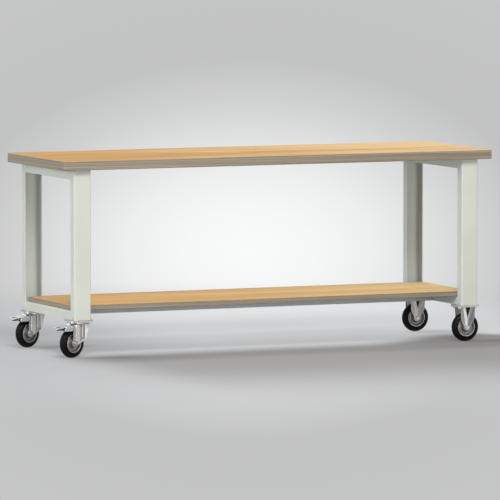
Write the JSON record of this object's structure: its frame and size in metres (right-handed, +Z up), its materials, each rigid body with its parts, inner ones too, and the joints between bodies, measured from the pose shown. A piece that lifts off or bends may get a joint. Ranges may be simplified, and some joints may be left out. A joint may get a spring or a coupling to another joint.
{
  "type": "assembly table",
  "caption": "Mobile assembly table: thick wooden top and shelf on a folded steel frame, with braked swivel casters at one end and fixed casters at the other.",
  "frame": {"origin": "on the floor, under the middle of the worktop", "axes": "+X along the bench to its fixed casters, +Y to the back, +Z up"},
  "size_m": [2.035, 0.65, 0.837],
  "materials": {
    "multiplex_worktop": "clear lacquered multiplex board with layered edges, satin",
    "multiplex_shelf": "clear lacquered multiplex board with layered edges, satin",
    "frame_paint": "light grey powder coat, fine texture, satin",
    "rail_paint": "light grey powder coat, fine texture, satin",
    "zinc_steel": "bright zinc plated pressed steel",
    "zinc_fastener": "bright zinc plated steel",
    "polished_steel": "polished bearing steel",
    "tyre_rubber": "solid black rubber, satin",
    "brake_rubber": "black rubber, matt",
    "bearing_plastic": "natural white plastic, matt"
  },
  "bodies": {
    "bench": {"worktop": "multiplex_worktop", "shelf_board": "multiplex_shelf", "top_beam_left": "frame_paint", "top_beam_right": "frame_paint", "bottom_beam_left": "frame_paint", "bottom_beam_right": "frame_paint", "centre_rail": "rail_paint", "rail_bolts": "zinc_fastener", "worktop_screws": "zinc_fastener", "shelf_screws": "zinc_fastener", "leg_left_front": "frame_paint", "leg_left_back": "frame_paint", "leg_right_front": "frame_paint", "leg_right_back": "frame_paint", "foot_bracket_left_front": "frame_paint", "foot_bracket_left_back": "frame_paint", "foot_bracket_right_front": "frame_paint", "foot_bracket_right_back": "frame_paint", "leg_bolts": "zinc_fastener", "leg_nuts": "zinc_fastener", "caster_bolts": "zinc_fastener", "kingpins": "zinc_fastener", "kingpin_nuts": "zinc_fastener", "caster_plate_left_front": "zinc_steel", "caster_plate_left_back": "zinc_steel", "lower_race_left_front": "zinc_steel", "lower_race_left_back": "zinc_steel", "fixed_fork_right_front": "zinc_steel", "fixed_fork_right_back": "zinc_steel", "fixed_axle_bolts": "zinc_fastener", "fixed_axle_nuts": "zinc_fastener", "fixed_axle_sleeves": "polished_steel"},
    "wheel_left_front": {"tyre_left_front": "tyre_rubber", "rim_left_front": "zinc_steel", "bearing_left_front": "bearing_plastic"},
    "swivel_left_front": {"fork_left_front": "zinc_steel", "race_balls_left_front": "polished_steel", "pedal_pin_left_front": "zinc_fastener", "axle_bolt_left_front": "zinc_fastener", "axle_nut_left_front": "zinc_fastener", "axle_sleeve_left_front": "polished_steel"},
    "pedal_left_front": {"brake_pedal_left_front": "zinc_steel", "brake_shoe_left_front": "brake_rubber"},
    "wheel_left_back": {"tyre_left_back": "tyre_rubber", "rim_left_back": "zinc_steel", "bearing_left_back": "bearing_plastic"},
    "swivel_left_back": {"fork_left_back": "zinc_steel", "race_balls_left_back": "polished_steel", "pedal_pin_left_back": "zinc_fastener", "axle_bolt_left_back": "zinc_fastener", "axle_nut_left_back": "zinc_fastener", "axle_sleeve_left_back": "polished_steel"},
    "pedal_left_back": {"brake_pedal_left_back": "zinc_steel", "brake_shoe_left_back": "brake_rubber"},
    "wheel_right_front": {"tyre_right_front": "tyre_rubber", "rim_right_front": "zinc_steel", "bearing_right_front": "bearing_plastic"},
    "wheel_right_back": {"tyre_right_back": "tyre_rubber", "rim_right_back": "zinc_steel", "bearing_right_back": "bearing_plastic"}
  },
  "joints": [
    {"name": "swivel_left_front_turn", "type": "hinge", "parent": "bench", "child": "swivel_left_front", "pos_m": [-0.907, -0.253, 0.1485], "axis": [0, 0, 1], "continuous": true},
    {"name": "wheel_left_front_spin", "type": "hinge", "parent": "swivel_left_front", "child": "wheel_left_front", "pos_m": [-0.94459, -0.26668, 0.0625], "axis": [0.342, -0.9397, 0], "continuous": true},
    {"name": "pedal_left_front_lift", "type": "hinge", "parent": "swivel_left_front", "child": "pedal_left_front", "pos_m": [-0.96338, -0.27352, 0.13], "axis": [-0.342, 0.9397, 0], "range_deg": [0, 14]},
    {"name": "swivel_left_back_turn", "type": "hinge", "parent": "bench", "child": "swivel_left_back", "pos_m": [-0.907, 0.253, 0.1485], "axis": [0, 0, 1], "continuous": true},
    {"name": "wheel_left_back_spin", "type": "hinge", "parent": "swivel_left_back", "child": "wheel_left_back", "pos_m": [-0.94459, 0.23932, 0.0625], "axis": [0.342, -0.9397, 0], "continuous": true},
    {"name": "pedal_left_back_lift", "type": "hinge", "parent": "swivel_left_back", "child": "pedal_left_back", "pos_m": [-0.96338, 0.23248, 0.13], "axis": [-0.342, 0.9397, 0], "range_deg": [0, 14]},
    {"name": "wheel_right_front_spin", "type": "hinge", "parent": "bench", "child": "wheel_right_front", "pos_m": [0.907, -0.253, 0.0625], "axis": [0, 1, 0], "continuous": true},
    {"name": "wheel_right_back_spin", "type": "hinge", "parent": "bench", "child": "wheel_right_back", "pos_m": [0.907, 0.253, 0.0625], "axis": [0, 1, 0], "continuous": true}
  ]
}
